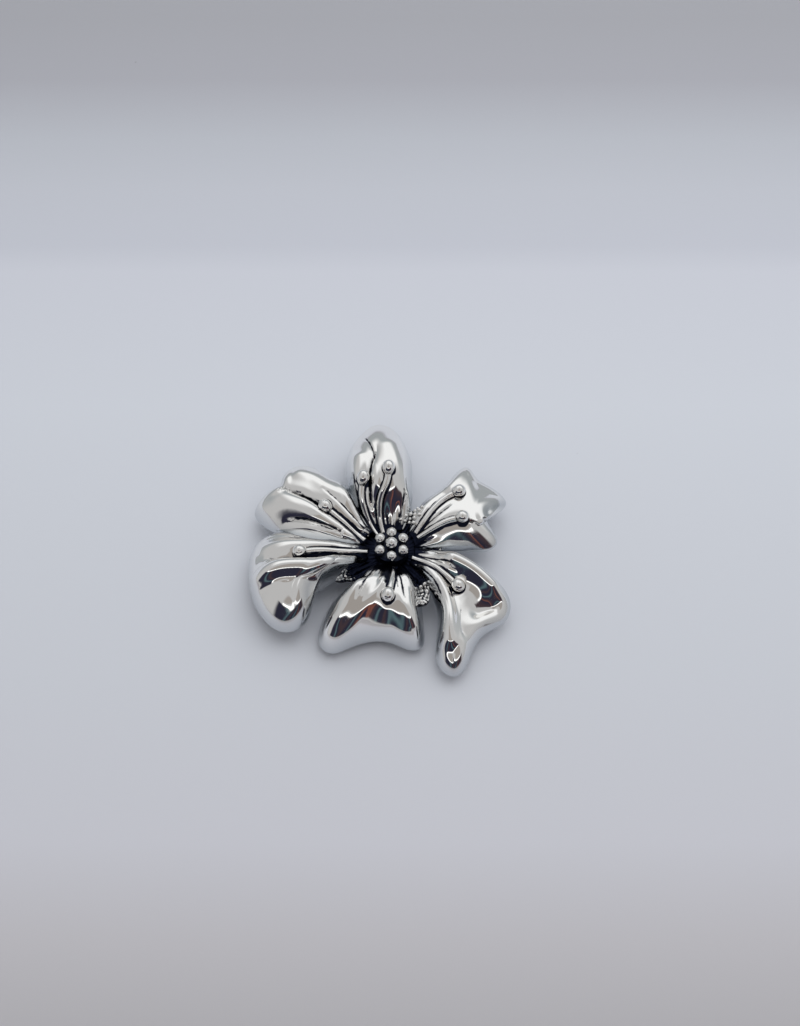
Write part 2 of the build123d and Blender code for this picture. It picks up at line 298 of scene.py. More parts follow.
# ---- Throat web: the dish that joins the petals, in mm -------------------------------------------------
# It reaches WEB_R out, and further into each gap: heading, extra reach and half-width in degrees.
WEB_R = 8.5
WEB_GAPS = ((-155, 4.5, 13), (-60, 4.5, 14), (8, 1.5, 14), (62, 1.5, 14), (123, 5, 14), (160, 3, 12))
WEB_BASE_Z = 5.2
WEB_RIM_Z = 6.4
WEB_T = 1.0
WEB_HOLE = 0.02  # share of its reach left open at the axis, under the beads' seat
WEB_RINGS = 110
WEB_SIDES = 420
WEB_PLEATS = 34
WEB_PLEAT_WANDER = (1.5, 3)  # how far its pleats drift sideways, and how often round the flower
WEB_PLEAT_HEIGHT = 0.22
WEB_PLEAT_RISE = (2.4, 8.0)  # the radius where its pleats begin, and over what length they grow
WEB_CLEAN_R = 8.0  # from here outwards its pebbles are rubbed bright
WEB_CLEAN_FADE = 2.5
WEB_CLEAN_BETWEEN = 0.3  # how bright the hollows between clean pebbles are
PEBBLE_HEIGHT = 0.28
PEBBLE_WAVES = ((4.1, 2.3), (3.9, 2.9))  # along x and y: radians per mm, and those of the sideways drift
PEBBLE_RISE = (6.0, 4.0)  # the radius where its pebbles begin, and over what length they grow

# ---- Grains: rows of small balls between two petals: radius of the row, first and last heading --------
GRAIN_R = 0.42
GRAIN_VARIES = 0.12
GRAIN_ROWS = ((7.0, 52, 80), (7.9, 52, 74), (8.8, 52, 70), (9.7, 53, 66), (10.5, 55, 63), (9.6, -57, -47))
GRAIN_GAP = 0.95
GRAIN_RINGS = 9
GRAIN_SIDES = 14

# ---- Wear of the silver and painted shade on it, in mm -------------------------------------------------
THROAT_DARK_R = 5.0
THROAT_FADE = 3.5  # over this length the dark ends
THROAT_STREAK = 3.0  # more or less by up to this, in streaks
THROAT_STREAKS = (23, 41)  # how often the streaks' two waves go round the flower
CREASE_DARK = 0.8
CREASE_DARK_WIDTH = 0.55  # share of the crease's own half-width
WIRE_SHADOW = (0.42, 0.4)  # reach of the painted shadow beside a stamen's wire, and its softness
BALL_SHADOW = (0.35, 0.3)  # the same for the painted shadow round its ball
RIM_DULL_AND_SHADE = 1.7  # how far in from a petal's rim its silver is painted greyer as shade, and made rougher
BEAD_DARK = (-1.2, 0.6)  # from the centre bead's foot: where the beads are darkest, and where they are clean

# ---- Metals' colours -----------------------------------------------------------------------------------
SILVER = (0.93, 0.92, 0.90)
# Greyer silver: the matte backs of the petals, and painted shade near their rims.
DULL_AND_SHADED_SILVER = (0.60, 0.62, 0.64)
# Blue-black of oxidised silver; the same colour paints the shadows beside the stamens.
OXIDE_AND_SHADOW_BLACK = (0.012, 0.015, 0.03)
OXIDE_WORN = (0.05, 0.055, 0.075)
STEEL = (0.66, 0.66, 0.67)
STEEL_WORN = (0.50, 0.50, 0.52)
BEADS = ("centre_bead", "ring_beads")

# ---- Metals' surfaces: roughness from the smoothest to the roughest spot, noise scales per metre --------
POLISH = (0.035, 0.09)
POLISH_CLOUDS = 260.0
POLISH_WAVES = 420.0
DULL_ROUGHER = 0.10
BLACK_ROUGHER = 0.28
# The ragged edge of the blue-black oxide and of the painted stamen shadows.
TARNISH_AND_SHADOW_RAGGED = 900.0
TARNISH_AND_SHADOW_EDGE = (0.85, 1.15)
OXIDE_ROUGHNESS = (0.28, 0.5)
OXIDE_MOTTLE = 700.0
STEEL_ROUGHNESS = (0.16, 0.34)
STEEL_GRAIN = 500.0
STEEL_STRETCH = (0.08, 3.0, 3.0)  # long along x, fine across it

# ---- Paper, in metres; its colour and painted shade go from the front (0) to the back (1) of its span ---
PAPER_REACH = 0.6
PAPER_ROUGHNESS = 0.6
PAPER_FIBRES = 400.0
SPECKS = 45.0  # cells per metre; few of them have their speck on the paper
SPECK_EDGE = (0.012, 0.020)  # in cells from its middle: where a speck is darkest, and where it ends
SPECK_SHADE = (0.75, 1.0)
PAPER_SPAN = (-0.1, 0.2)
PAPER_COLOUR_AND_SHADE = (
    (0.06, (0.62, 0.61, 0.64)),
    (0.10, (0.70, 0.69, 0.73)),
    (0.15, (0.79, 0.80, 0.87)),
    (0.25, (0.81, 0.84, 0.91)),
    (0.46, (0.86, 0.90, 0.98)),
    (0.60, (0.83, 0.86, 0.95)),
    (0.63, (0.76, 0.79, 0.88)),
    (0.70, (0.74, 0.77, 0.85)),
    (0.77, (0.68, 0.71, 0.78)),
    (0.86, (0.56, 0.57, 0.63)),
    (0.96, (0.53, 0.54, 0.59)),
)

# ---- Room that the silver mirrors ----------------------------------------------------------------------
# Each area: its colour and its soft edges. An edge is a measure of the direction, where the edge starts and
# where the area is full. The measures, in radians, are the height above the horizon and the angle to the side
# of the viewer, signed (side) or not (wide); x is the direction's own. Each area lies over the one before it:
# a bright wall behind and to the right, grey low down behind, taupe high on the viewer's side, and a bright
# lintel under it.
ROOM_STRENGTH = 1.15
ROOM_COLOUR = (0.43, 0.43, 0.435)
ROOM_AREAS = (
    ((0.80, 0.81, 0.82), (("wide", 1.5, 2.3), ("height", 1.3, 1.0), ("x", -0.6, -0.3))),
    ((0.30, 0.32, 0.335), (("wide", 1.2, 2.2), ("height", 0.6, 0.25))),
    ((0.29, 0.27, 0.255), (("height", 0.80, 0.86), ("wide", 0.8, 0.6))),
    ((1.35, 1.35, 1.35), (("height", 0.66, 0.70), ("height", 0.80, 0.74), ("wide", 0.75, 0.65))),
)

# The last area is a dark view with upright stripes, placed from the left (0) to the right (1) of the viewer.
NAVY = (0.02, 0.02, 0.035)
TEAL = (0.07, 0.115, 0.13)
BROWN = (0.045, 0.03, 0.035)
RUST = (0.16, 0.06, 0.045)
VIEW_EDGES = (("wide", 1.0, 0.85), ("height", 0.72, 0.66), ("height", 0.0, 0.08))
VIEW_STRIPES = (
    (0.0, NAVY),
    (0.15, NAVY),
    (0.22, TEAL),
    (0.28, NAVY),
    (0.38, BROWN),
    (0.46, NAVY),
    (0.54, NAVY),
    (0.60, TEAL),
    (0.66, NAVY),
    (0.76, BROWN),
    (0.80, RUST),
    (0.83, NAVY),
    (1.0, BROWN),
)

# ---- Softbox, in metres and watts ----------------------------------------------------------------------
SOFTBOX_PLACE = (0.12, 0.15, 0.55)
SOFTBOX_SIZE = 0.5
SOFTBOX_POWER = 0.7

# ---- Camera, in degrees and mm -------------------------------------------------------------------------
CAMERA_ELEVATION = 60
CAMERA_DISTANCE = 165.0
CAMERA_LENS = 30.1
CAMERA_SENSOR = 36.0
BEADS_OFF_CENTRE = (-1.635, -5.77)  # where the beads lie, right of and above the middle of the view

# ---- Frame ---------------------------------------------------------------------------------------------
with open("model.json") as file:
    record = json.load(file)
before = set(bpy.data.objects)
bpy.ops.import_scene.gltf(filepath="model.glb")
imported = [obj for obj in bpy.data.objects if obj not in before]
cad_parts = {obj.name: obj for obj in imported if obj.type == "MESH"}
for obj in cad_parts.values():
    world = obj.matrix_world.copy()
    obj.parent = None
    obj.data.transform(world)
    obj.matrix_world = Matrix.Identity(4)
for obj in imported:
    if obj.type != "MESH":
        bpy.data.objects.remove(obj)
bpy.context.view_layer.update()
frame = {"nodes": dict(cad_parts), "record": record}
bead_low, bead_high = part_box("centre_bead")
FLOWER = (bead_low + bead_high) / 2


# ---- Curves --------------------------------------------------------------------------------------------
def smooth_curve(points, count):
    """Evenly spaced points along the natural cubic spline through the given points."""
    points = np.array(points, dtype=float)
    knots = run_along(points, power=SPLINE_POWER)
    n = len(points)
    step = np.diff(knots)
    matrix = np.eye(n)
    right = np.zeros_like(points)
    for i in range(1, n - 1):
        matrix[i, i - 1 : i + 2] = step[i - 1], 2 * (step[i - 1] + step[i]), step[i]
        right[i] = 6 * ((points[i + 1] - points[i]) / step[i] - (points[i] - points[i - 1]) / step[i - 1])
    bend = np.linalg.solve(matrix, right)
    t = np.linspace(0, knots[-1], SPLINE_STEPS * n)
    k = np.clip(np.searchsorted(knots, t) - 1, 0, n - 2)
    h = step[k][:, None]
    a = (knots[k + 1] - t)[:, None] / h
    b = 1 - a
    curve = a * points[k] + b * points[k + 1]
    curve = curve + ((a**3 - a) * bend[k] + (b**3 - b) * bend[k + 1]) * h**2 / 6
    run = run_along(curve)
    return read_line(curve, run, np.linspace(0, run[-1], count))


def run_along(line, power=1):
    """Distance from the start of a line to each of its points, with each step raised to a power."""
    return np.concatenate([[0], np.cumsum(np.linalg.norm(np.diff(line, axis=0), axis=1) ** power)])


def read_line(line, marks, at):
    """Points of a line at the given values of its marks."""
    return np.stack([np.interp(at, marks, line[:, axis]) for axis in range(line.shape[1])], axis=1)


def nearest_on(line, points):
    """For each point, the distance in plan to the nearest node of a line, and that node's number."""
    gap = np.full(len(points), np.inf)
    nearest = np.zeros(len(points))
    for i, node in enumerate(line):
        here = np.hypot(points[:, 0] - node[0], points[:, 1] - node[1])
        nearest = np.where(here < gap, i, nearest)
        gap = np.minimum(gap, here)
    return gap, nearest


def path_distance(points, path):
    return nearest_on(smooth_curve(path, PATH_POINTS), points)[0]


def rim_distance(points, rim):
    return nearest_on(smooth_curve(rim, RIM_POINTS), points)[0]


def rising(radius, start, length):
    """0 up to a radius, then growing to 1 over a length."""
    return np.clip((radius - start) / length, 0, 1)


def swell(points, path, width):
    """A smooth bump, 1 on a path and fading over its half-width."""
    return np.exp(-((path_distance(points, path) / width) ** 2))


def score(points, path, width):
    """A groove's share of its full depth: like a swell, and fading in over the first part of its path."""
    gap, nearest = nearest_on(smooth_curve(path, PATH_POINTS), points)
    fade = np.clip(nearest / PATH_POINTS / CREASE_FADE, 0, 1)
    return fade * np.exp(-((gap / width) ** 2))


# ---- Meshes --------------------------------------------------------------------------------------------
def new_mesh(name, points, faces):
    mesh = bpy.data.meshes.new(name)
    mesh.from_pydata([tuple(p) for p in points], [], [tuple(f) for f in faces])
    mesh.polygons.foreach_set("use_smooth", [True] * len(mesh.polygons))
    mesh.update()
    piece = bpy.data.objects.new(name, mesh)
    bpy.context.scene.collection.objects.link(piece)
    return piece


def to_frame(points):
    """From mm about the flower's axis to the frame's metres."""
    return np.asarray(points).reshape(-1, 3) * MM + np.array([FLOWER.x, FLOWER.y, 0])


def read_mesh(piece, value):
    """The places ("co") or normals ("normal") of a mesh's points."""
    flat = np.zeros(len(piece.data.vertices) * 3, np.float32)
    piece.data.vertices.foreach_get(value, flat)
    return flat.reshape(-1, 3)


def grid_faces(rows, cols):
    i, j = np.meshgrid(np.arange(rows - 1), np.arange(cols - 1), indexing="ij")
    a = (i * cols + j).ravel()
    return np.stack([a, a + 1, a + cols + 1, a + cols], axis=1)


def vertex_normals(points, faces):
    a, b, c, d = (points[faces[:, k]] for k in range(4))
    flat = np.cross(c - a, d - b)
    total = np.zeros_like(points)
    for k in range(4):
        np.add.at(total, faces[:, k], flat)
    return total / np.maximum(np.linalg.norm(total, axis=1, keepdims=True), 1e-12)


def add_attribute(piece, name, values):
    layer = piece.data.attributes.new(name, "FLOAT", "POINT")
    layer.data.foreach_set("value", np.asarray(values, dtype=np.float32))


# ---- Petals --------------------------------------------------------------------------------------------
def round_the_rim(values, count):
    """A smooth run of values round a rim from its left-hand, tip and right-hand value."""
    left, tip, right = values
    turn = np.linspace(-1, 1, count)
    share = np.clip(2 * np.abs(turn), 0, 1)
    return tip + np.where(turn < 0, left - tip, right - tip) * share**2 * (3 - 2 * share)


def petal_middle(petal, grooves):
    """A petal's mid-surface: points, faces and each point's share of the way from vein (0) to rim (1)."""
    rim = smooth_curve(petal["rim"], 2 * RIM_STEPS + 1)
    climb = 1 - np.abs(np.linspace(-1, 1, len(rim)))
    vein_line = smooth_curve(petal["vein"], VEIN_POINTS)
    vein = read_line(vein_line, np.linspace(0, 1, len(vein_line)), 1 - (1 - climb) ** FAN)
    span = np.sin(np.linspace(0, math.pi / 2, SPAN_STEPS + 1))[1:]
    drop = span[None] ** round_the_rim(petal["fall"], len(rim))[:, None]
    blend = np.stack([np.broadcast_to(span, drop.shape)] * 2 + [drop], axis=-1)
    grid = vein[:, None] + (rim - vein)[:, None] * blend
    spine = vein[: RIM_STEPS + 1]
    points = np.concatenate([spine, grid.reshape(-1, 3)])
    out = np.concatenate([np.zeros(len(spine)), np.tile(span, len(rim))])
    around = np.arange(len(rim))
    mirrored = np.minimum(around, 2 * RIM_STEPS - around)
    first = len(spine) + around * SPAN_STEPS
    inner = np.stack([mirrored[:-1], first[:-1], first[1:], mirrored[1:]], axis=1)
    faces = np.concatenate([grid_faces(len(rim), SPAN_STEPS) + len(spine), inner])
    lip = np.repeat(round_the_rim(petal["lip"], len(rim)), SPAN_STEPS)
    lip = np.concatenate([np.zeros(len(spine)), lip])
    points[:, 2] += relief(petal, grooves, points, lip) * (1 - out**RELIEF_POWER)
    return points, faces, out


def relief(petal, grooves, points, lip):
    """Height that a petal's lip, pleats, ridges, creases and stamen grooves add at each point."""
    radius = np.hypot(points[:, 0], points[:, 1])
    heading = np.arctan2(points[:, 1], points[:, 0])
    rolled = np.exp(-(((rim_distance(points, petal["rim"]) - LIP_INSET) / LIP_WIDTH) ** 2))
    height = lip * rolled * rising(radius, *LIP_RISE)
    drift, waves = PLEAT_WANDER
    pleats = np.sin(PLEATS * heading + drift * np.sin(waves * heading))
    height += PLEAT_HEIGHT * pleats * np.exp(-(((radius - PLEAT_R) / PLEAT_SPREAD) ** 2))
    for path, width, rise in petal["ridges"]:
        height += rise * swell(points, path, width)
    for path, width, depth in petal["creases"]:
        height -= depth * score(points, path, width)
    for path in grooves:
        height -= GROOVE_DEPTH * swell(points, path, GROOVE_WIDTH)
    return height


def petal_shell(name):
    """A petal's front and back points, the faces of both and each point's share of the way to the rim."""
    grooves = [path for home, path in STAMENS.values() if home == name]
    points, faces, out = petal_middle(PETALS[name], grooves)
    normal = vertex_normals(points, faces)
    normal *= np.sign(normal[:, 2].mean())
    half = (PETAL_T / 2 * np.sqrt(np.clip(1 - out**EDGE_POWER, 0, 1)))[:, None]
    return points + normal * half, points - normal * half, faces, out


def closed_faces(faces, out):
    """Faces of a petal's front and back, which share the rim's points, and of the strips across its root."""
    n = len(out)
    twin = np.where(out >= 1, np.arange(n), np.arange(n) + n)
    closed = [tuple(face) for face in faces] + [tuple(face[::-1]) for face in twin[faces]]
    left = RIM_STEPS + 1
    right = left + 2 * RIM_STEPS * SPAN_STEPS
    for start, turn in ((left, 1), (right, -1)):
        line = [0, *range(start, start + SPAN_STEPS)]
        for a, b in zip(line[:-1], line[1:]):
            loop = (a, b, twin[b], twin[a]) if b != twin[b] else (a, b, twin[a])
            closed.append(loop[::turn])
    return closed


def make_petal(name, shell, silver):
    front, back, faces, out = shell
    piece = new_mesh(name + "_silver", to_frame(np.concatenate([front, back])), closed_faces(faces, out))
    tidy_mesh(piece)
    add_wear_and_shade(piece, PETALS[name]["rim"])
    piece.data.materials.append(silver)
    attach(piece, "flower")
    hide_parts(name)


def tidy_mesh(piece):
    """Drops unused points, joins those in one place and turns every face outwards."""
    work = bmesh.new()
    work.from_mesh(piece.data)
    bmesh.ops.delete(work, geom=[v for v in work.verts if not v.link_faces], context="VERTS")
    bmesh.ops.remove_doubles(work, verts=work.verts, dist=1e-7)
    bmesh.ops.recalc_face_normals(work, faces=work.faces)
    work.to_mesh(piece.data)
    work.free()


def add_wear_and_shade(piece, rim):
    """Marks a petal's oxide and painted stamen shadows, and its painted rim shade and matte underside."""
    points = (read_mesh(piece, "co") - np.array([FLOWER.x, FLOWER.y, 0])) / MM
    add_attribute(piece, "tarnish_and_shadow", tarnish_and_shadow(points))
    # Painted shade: the silver greys towards the rim, for the darker reflections there.
    dull_and_rim_shade = np.clip(1 - rim_distance(points, rim) / RIM_DULL_AND_SHADE, 0, 1)
    # Underneath it is the matte back of the cast.
    add_attribute(piece, "dull_and_rim_shade", np.where(read_mesh(piece, "normal")[:, 2] < 0, 1, dull_and_rim_shade))


def tarnish_and_shadow(points):
    """How dark each point is: oxide deep in the throat and in the creases, and painted shadow along the
    stamens' edges.
    """
    radius = np.hypot(points[:, 0], points[:, 1])
    heading = np.arctan2(points[:, 1], points[:, 0])
    coarse, fine = THROAT_STREAKS
    streak = np.sin(coarse * heading) * np.sin(fine * heading + 1)
    dark = 1 - rising(radius, THROAT_DARK_R, THROAT_FADE + THROAT_STREAK * streak)
    for petal in PETALS.values():
        for path, width, _ in petal["creases"]:
            dark = np.maximum(dark, CREASE_DARK * score(points, path, width * CREASE_DARK_WIDTH))
    # Painted shadow: a dark line beside each stamen's wire and round its ball, where it lies on the petal.
    for _, path in STAMENS.values():
        to_ball = np.hypot(points[:, 0] - path[-1][0], points[:, 1] - path[-1][1])
        beside = (
            (path_distance(points, path) - STAMEN_NECK_R, WIRE_SHADOW),
            (to_ball - STAMEN_BALL_R, BALL_SHADOW),
        )
        for gap, (reach, softness) in beside:
            dark = np.maximum(dark, np.clip((reach - gap) / softness, 0, 1))
    return dark


# ---- Stamens -------------------------------------------------------------------------------------------
def surface_height(front, points):
    """Height of a petal's front over points in plan."""
    height = []
    for x, y in points:
        gap = (front[:, 0] - x) ** 2 + (front[:, 1] - y) ** 2
        near = np.argpartition(gap, STAMEN_CONTACTS)[:STAMEN_CONTACTS]
        weight = 1 / (gap[near] + 1e-4)
        height.append((front[near, 2] * weight).sum() / weight.sum())
    return np.array(height)


def stamen_line(front, path):
    """Centre and radius along a wire that thickens towards its ball, half sunk in its groove."""
    line = smooth_curve(path, STAMEN_RINGS)
    run = run_along(line)
    share = np.sin(np.linspace(0, math.pi / 2, STAMEN_RINGS))
    along = (run[-1] + STAMEN_BALL_R) * share
    to_ball = along - run[-1]
    heading = (line[-1] - line[-3]) / np.linalg.norm(line[-1] - line[-3])
    plan = read_line(line, run, along) + np.maximum(to_ball, 0)[:, None] * heading
    wire = STAMEN_ROOT_R + (STAMEN_NECK_R - STAMEN_ROOT_R) * share
    ball = np.sqrt(np.clip(STAMEN_BALL_R**2 - to_ball**2, 0, None))
    both = (wire**STAMEN_NECK_POWER + ball**STAMEN_NECK_POWER) ** (1 / STAMEN_NECK_POWER)
    radius = np.where(to_ball > 0, ball, both)
    window = 2 * STAMEN_CALM + 1
    height = np.pad(surface_height(front, plan), STAMEN_CALM, mode="edge")
    height = np.convolve(height, np.ones(window) / window, mode="valid")
    lift = np.where(to_ball > 0, STAMEN_BALL_R, radius) - STAMEN_SUNK
    return np.column_stack([plan, height + lift]), radius


def tube(centre, radius, sides):
    """Points and faces of a closed tube round a line."""
    ahead = np.gradient(centre, axis=0)
    ahead /= np.linalg.norm(ahead, axis=1, keepdims=True)
    side = np.cross(ahead, (0, 0, 1))
    side /= np.linalg.norm(side, axis=1, keepdims=True)
    up = np.cross(side, ahead)
    turn = np.linspace(0, 2 * math.pi, sides, endpoint=False)
    ring = np.cos(turn)[None, :, None] * side[:, None] + np.sin(turn)[None, :, None] * up[:, None]
    points = (centre[:, None] + ring * np.maximum(radius, 1e-3)[:, None, None]).reshape(-1, 3)
    last = len(points) - sides
    faces = []
    for a in range(0, last, sides):
        for j in range(sides):
            k = (j + 1) % sides
            faces.append((a + j, a + k, a + sides + k, a + sides + j))
    faces.append(tuple(range(sides))[::-1])
    faces.append(tuple(range(last, last + sides)))
    return points, faces


def make_stamen(name, front, silver):
    centre, radius = stamen_line(front, STAMENS[name][1])
    points, faces = tube(centre, radius, STAMEN_SIDES)
    piece = new_mesh(name + "_silver", to_frame(points), faces)
    piece.data.materials.append(silver)
    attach(piece, "flower")
    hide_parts(name)


# ---- Throat web and grains -----------------------------------------------------------------------------
def ball(centre, radius):
    """A round ball's points and faces."""
    tilt = np.linspace(0, math.pi, GRAIN_RINGS)[1:-1, None]
    turn = np.linspace(0, 2 * math.pi, GRAIN_SIDES, endpoint=False)[None]
    x, y = np.sin(tilt) * np.cos(turn), np.sin(tilt) * np.sin(turn)
    z = np.broadcast_to(np.cos(tilt), x.shape)
    points = np.concatenate([np.stack([x, y, z], axis=-1).reshape(-1, 3), [(0, 0, 1), (0, 0, -1)]])
    top, bottom = len(points) - 2, len(points) - 1
    last = (GRAIN_RINGS - 3) * GRAIN_SIDES
    faces = []
    for j in range(GRAIN_SIDES):
        k = (j + 1) % GRAIN_SIDES
        faces.append((top, j, k))
        faces.append((bottom, last + k, last + j))
        for i in range(0, last, GRAIN_SIDES):
            faces.append((i + j, i + GRAIN_SIDES + j, i + GRAIN_SIDES + k, i + k))
    return np.array(centre) + radius * points, faces


def resting_height(fronts, x, y):
    """Height of the highest petal over a point in plan, or of the web where there is none."""
    heights = [WEB_RIM_Z]
    for front in fronts:
        gap = np.hypot(front[:, 0] - x, front[:, 1] - y)
        if gap.min() < GRAIN_R:
            heights.append(front[gap.argmin(), 2])
    return max(heights)


def make_grains(fronts, silver):
    """The rows of small balls soldered between two petals' roots."""
    points, faces = np.zeros((0, 3)), []
    for row, (radius, first, last) in enumerate(GRAIN_ROWS):
        step = math.degrees(GRAIN_GAP / radius)
        stagger = (row % 2) * step / 2
        for heading in np.arange(first + stagger, last, step):
            x, y = radius * math.cos(math.radians(heading)), radius * math.sin(math.radians(heading))
            size = GRAIN_R * (1 + GRAIN_VARIES * math.sin(5 * heading))
            some, shape = ball((x, y, resting_height(fronts, x, y) + size / 2), size)
            faces += [tuple(len(points) + k for k in face) for face in shape]
            points = np.concatenate([points, some])
    piece = new_mesh("throat_grains", to_frame(points), faces)
    piece.data.materials.append(silver)
    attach(piece, "flower")


def web_reach(turn):
    """How far the web reaches at each heading."""
    reach = np.full(len(turn), WEB_R)
    for heading, extra, width in WEB_GAPS:
        away = (np.degrees(turn) - heading + 180) % 360 - 180
        reach += extra * np.exp(-((away / width) ** 2))
    return reach


def web_faces():
    """Faces of the web's top and bottom, and of its outer edge and the hole in its middle."""
    n = WEB_RINGS * WEB_SIDES
    around = np.arange(WEB_SIDES)
    ahead = (around + 1) % WEB_SIDES
    near = (np.arange(WEB_RINGS - 1) * WEB_SIDES)[:, None]
    far = near + WEB_SIDES
    top = np.stack([near + around, far + around, far + ahead, near + ahead], axis=-1).reshape(-1, 4)
    edge = n - WEB_SIDES
    outer = np.stack([edge + around, n + edge + around, n + edge + ahead, edge + ahead], axis=1)
    inner = np.stack([around, ahead, n + ahead, n + around], axis=1)
    return np.concatenate([top, n + top[:, ::-1], outer, inner])


def make_web(silver):
    """The pleated and pebbled dish under the petals' roots, dark but for the pebbles near its edge."""
    turn = np.linspace(-math.pi, math.pi, WEB_SIDES, endpoint=False)
    share = np.linspace(WEB_HOLE, 1, WEB_RINGS)[:, None]
    radius = share * web_reach(turn)[None]
    x, y = radius * np.cos(turn), radius * np.sin(turn)
    drift, waves = WEB_PLEAT_WANDER
    pleats = WEB_PLEAT_HEIGHT * np.sin(WEB_PLEATS * turn + drift * np.sin(waves * turn))[None]
    pleats = pleats * rising(radius, *WEB_PLEAT_RISE)
    (x_waves, y_drift), (y_waves, x_drift) = PEBBLE_WAVES
    pebbles = np.abs(np.sin(x_waves * x + np.sin(y_drift * y)) * np.sin(y_waves * y + np.sin(x_drift * x)))
    pebbles = pebbles * rising(radius, *PEBBLE_RISE)
    rise = WEB_BASE_Z + (WEB_RIM_Z - WEB_BASE_Z) * share**2 + pleats
    top = np.stack([x, y, rise + PEBBLE_HEIGHT * pebbles], axis=-1).reshape(-1, 3)
    bottom = np.stack([x, y, rise - WEB_T], axis=-1).reshape(-1, 3)
    piece = new_mesh("throat_web", to_frame(np.concatenate([top, bottom])), web_faces())
    bright = rising(radius, WEB_CLEAN_R, WEB_CLEAN_FADE)
    bright = bright * (WEB_CLEAN_BETWEEN + (1 - WEB_CLEAN_BETWEEN) * pebbles)
    add_attribute(piece, "tarnish_and_shadow", np.concatenate([1 - bright.ravel(), np.ones(len(bottom))]))
    piece.data.materials.append(silver)
    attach(piece, "flower")
    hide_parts("throat_cup")


# ---- Nodes ---------------------------------------------------------------------------------------------
def feed(tree, socket, value):
    """Gives a socket another node's output, a colour or a number."""
    if isinstance(value, bpy.types.NodeSocket):
        tree.links.new(value, socket)
    elif isinstance(value, tuple):
        socket.default_value = (*value, 1)
    else:
        socket.default_value = value


def math_node(tree, operation, first, second=0.0):
    node = tree.nodes.new("ShaderNodeMath")
    node.operation = operation
    feed(tree, node.inputs[0], first)
    feed(tree, node.inputs[1], second)
    return node.outputs[0]


def mix_node(tree, share, first, second, blend="MIX"):
    """A mix of two colours, each a colour or another node's output."""
    node = tree.nodes.new("ShaderNodeMix")
    node.data_type = "RGBA"
    node.blend_type = blend
    feed(tree, node.inputs["Factor"], share)
    feed(tree, node.inputs["A"], first)
    feed(tree, node.inputs["B"], second)
    return node.outputs["Result"]


def range_node(tree, value, values_in, values_out, smooth=False):
    """The value carried from one range to another."""
    node = tree.nodes.new("ShaderNodeMapRange")
    node.interpolation_type = "SMOOTHSTEP" if smooth else "LINEAR"
    names = ("From Min", "From Max", "To Min", "To Max")
    for socket, number in zip(names, (*values_in, *values_out)):
        node.inputs[socket].default_value = number
    tree.links.new(value, node.inputs["Value"])
    return node.outputs["Result"]


def ramp_node(tree, value, stops, interpolation="LINEAR"):
    """The colour at a value between (position, colour) stops."""
    node = tree.nodes.new("ShaderNodeValToRGB")
    ramp = node.color_ramp
    ramp.interpolation = interpolation
    for _ in range(len(stops) - len(ramp.elements)):
        ramp.elements.new(0.5)
    for element, (position, colour) in zip(ramp.elements, stops):
        element.position = position
        element.color = (*colour, 1)
    tree.links.new(value, node.inputs["Fac"])
    return node.outputs["Color"]


def place_node(tree, system, axis):
    """One axis of a texture coordinate."""
    place = tree.nodes.new("ShaderNodeTexCoord")
    split = tree.nodes.new("ShaderNodeSeparateXYZ")
    tree.links.new(place.outputs[system], split.inputs[0])
    return split.outputs[axis]


def noise_node(tree, scale, detail, stretch=(1, 1, 1)):
    """Noise over the object's own coordinates, finer by the stretch along each axis."""
    place = tree.nodes.new("ShaderNodeTexCoord")
    mapping = tree.nodes.new("ShaderNodeMapping")
    mapping.inputs["Scale"].default_value = stretch
    tree.links.new(place.outputs["Object"], mapping.inputs["Vector"])
    noise = tree.nodes.new("ShaderNodeTexNoise")
    noise.inputs["Scale"].default_value = scale
    noise.inputs["Detail"].default_value = detail
    tree.links.new(mapping.outputs["Vector"], noise.inputs["Vector"])
    return noise.outputs["Fac"]


def attribute_node(tree, name):
    node = tree.nodes.new("ShaderNodeAttribute")
    node.attribute_name = name
    return node.outputs["Fac"]


def add_bump(tree, shader, height, strength, depth):
    node = tree.nodes.new("ShaderNodeBump")
    node.inputs["Strength"].default_value = strength
    node.inputs["Distance"].default_value = depth
    tree.links.new(height, node.inputs["Height"])
    tree.links.new(node.outputs["Normal"], shader.inputs["Normal"])


# ---- Materials -----------------------------------------------------------------------------------------
def new_material(name):
    material = bpy.data.materials.new(name)
    material.use_nodes = True
    tree = material.node_tree
    shader = tree.nodes["Principled BSDF"]
    return material, tree, shader


def finish_silver(tree, shader, tarnish_and_shadow_mask, dull_and_shade):
    """Polished silver: blue-black with ragged edges where oxidised and where shadow is painted, greyer and
    softer where worn and where shade is painted near the rims.
    """
    shader.inputs["Metallic"].default_value = 1.0
    ragged = math_node(tree, "ADD", tarnish_and_shadow_mask, noise_node(tree, TARNISH_AND_SHADOW_RAGGED, 4.0))
    black = range_node(tree, ragged, TARNISH_AND_SHADOW_EDGE, (0, 1), smooth=True)
    colour = mix_node(tree, dull_and_shade, SILVER, DULL_AND_SHADED_SILVER)
    tree.links.new(mix_node(tree, black, colour, OXIDE_AND_SHADOW_BLACK), shader.inputs["Base Color"])
    cloudy = range_node(tree, noise_node(tree, POLISH_CLOUDS, 3.0), (0.35, 0.7), POLISH)
    cloudy = math_node(tree, "ADD", cloudy, range_node(tree, dull_and_shade, (0, 1), (0, DULL_ROUGHER)))
    cloudy = math_node(tree, "ADD", cloudy, range_node(tree, black, (0, 1), (0, BLACK_ROUGHER)))
    tree.links.new(cloudy, shader.inputs["Roughness"])
    add_bump(tree, shader, noise_node(tree, POLISH_WAVES, 2.0), strength=0.12, depth=0.08 * MM)


